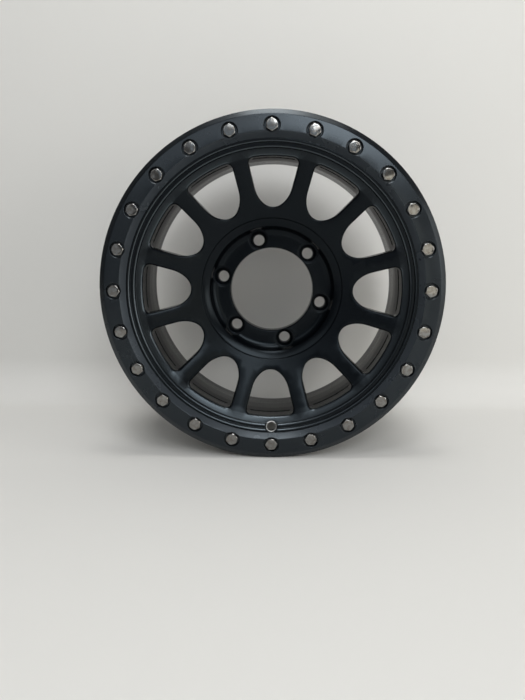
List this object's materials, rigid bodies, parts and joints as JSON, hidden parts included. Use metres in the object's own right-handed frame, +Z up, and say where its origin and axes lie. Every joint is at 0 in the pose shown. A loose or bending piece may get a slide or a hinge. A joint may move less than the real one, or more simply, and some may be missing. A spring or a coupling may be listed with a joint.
{
  "type": "car wheel",
  "caption": "Cast car wheel with open windows between plain spokes, a drop-centre barrel, and a separate bolted outer ring in beadlock style.",
  "frame": {"origin": "centre of the face that bolts to the vehicle's hub, on the wheel's spin axis", "axes": "+Y along the spin axis towards the vehicle, so the show face looks along -Y; +Z up towards the first ring bolt, opposite the valve hole; +X to the right seen from the front"},
  "size_m": [0.4445, 0.2372, 0.4446],
  "materials": {
    "satin_black_casting": "cast aluminium with satin black paint",
    "satin_black_ring": "turned aluminium with satin black paint",
    "zinc_bolts": "zinc-plated steel"
  },
  "bodies": {
    "root": {"wheel_casting": "satin_black_casting", "outer_ring": "satin_black_ring", "ring_bolt_01": "zinc_bolts", "ring_bolt_02": "zinc_bolts", "ring_bolt_03": "zinc_bolts", "ring_bolt_04": "zinc_bolts", "ring_bolt_05": "zinc_bolts", "ring_bolt_06": "zinc_bolts", "ring_bolt_07": "zinc_bolts", "ring_bolt_08": "zinc_bolts", "ring_bolt_09": "zinc_bolts", "ring_bolt_10": "zinc_bolts", "ring_bolt_11": "zinc_bolts", "ring_bolt_12": "zinc_bolts", "ring_bolt_13": "zinc_bolts", "ring_bolt_14": "zinc_bolts", "ring_bolt_15": "zinc_bolts", "ring_bolt_16": "zinc_bolts", "ring_bolt_17": "zinc_bolts", "ring_bolt_18": "zinc_bolts", "ring_bolt_19": "zinc_bolts", "ring_bolt_20": "zinc_bolts", "ring_bolt_21": "zinc_bolts", "ring_bolt_22": "zinc_bolts", "ring_bolt_23": "zinc_bolts", "ring_bolt_24": "zinc_bolts"}
  },
  "joints": []
}
